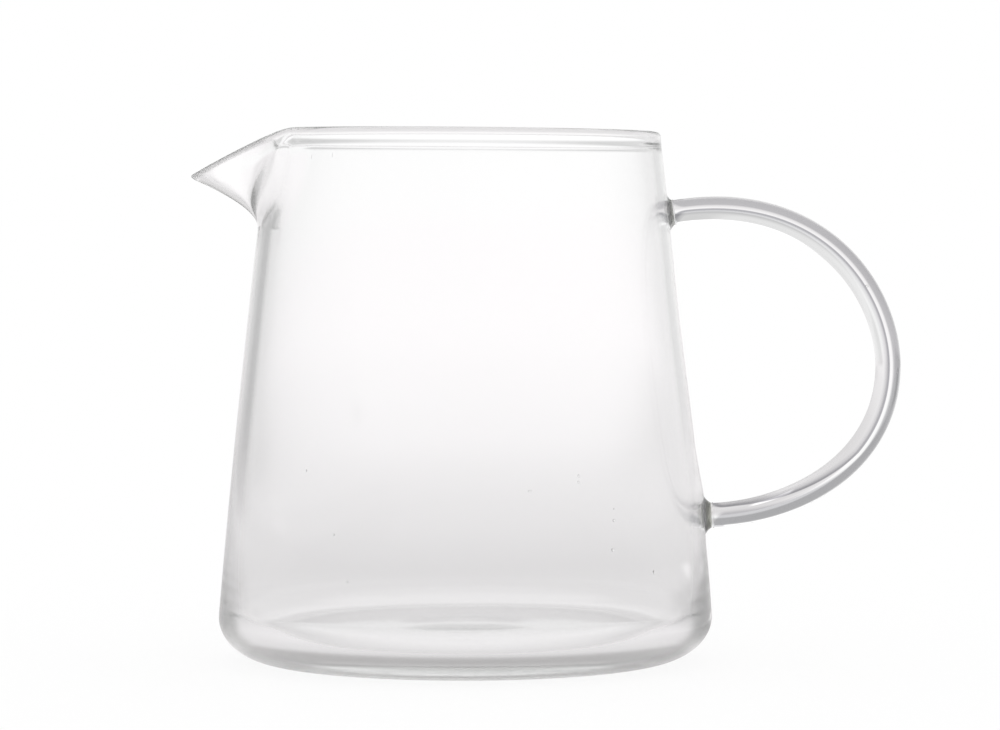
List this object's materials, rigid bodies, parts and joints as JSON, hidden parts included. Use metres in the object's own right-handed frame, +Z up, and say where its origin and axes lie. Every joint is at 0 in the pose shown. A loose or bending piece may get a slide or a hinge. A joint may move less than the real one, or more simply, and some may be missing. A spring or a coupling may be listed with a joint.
{
  "type": "glass pitcher",
  "caption": "Clear glass pitcher with a tapered vessel, a drawn pouring spout and a fused loop handle of solid glass rod, for serving cold or hot drinks.",
  "frame": {"origin": "on the vessel's axis, in the plane of the flat underside that it stands on", "axes": "+Z up along the vessel's axis, -X towards the spout, +X towards the handle"},
  "size_m": [0.1757, 0.1218, 0.1314],
  "materials": {
    "clear_glass": "clear, fire-polished"
  },
  "bodies": {
    "root": {"vessel": "clear_glass", "handle_rod": "clear_glass", "upper_handle_seal": "clear_glass", "lower_handle_seal": "clear_glass"}
  },
  "joints": []
}
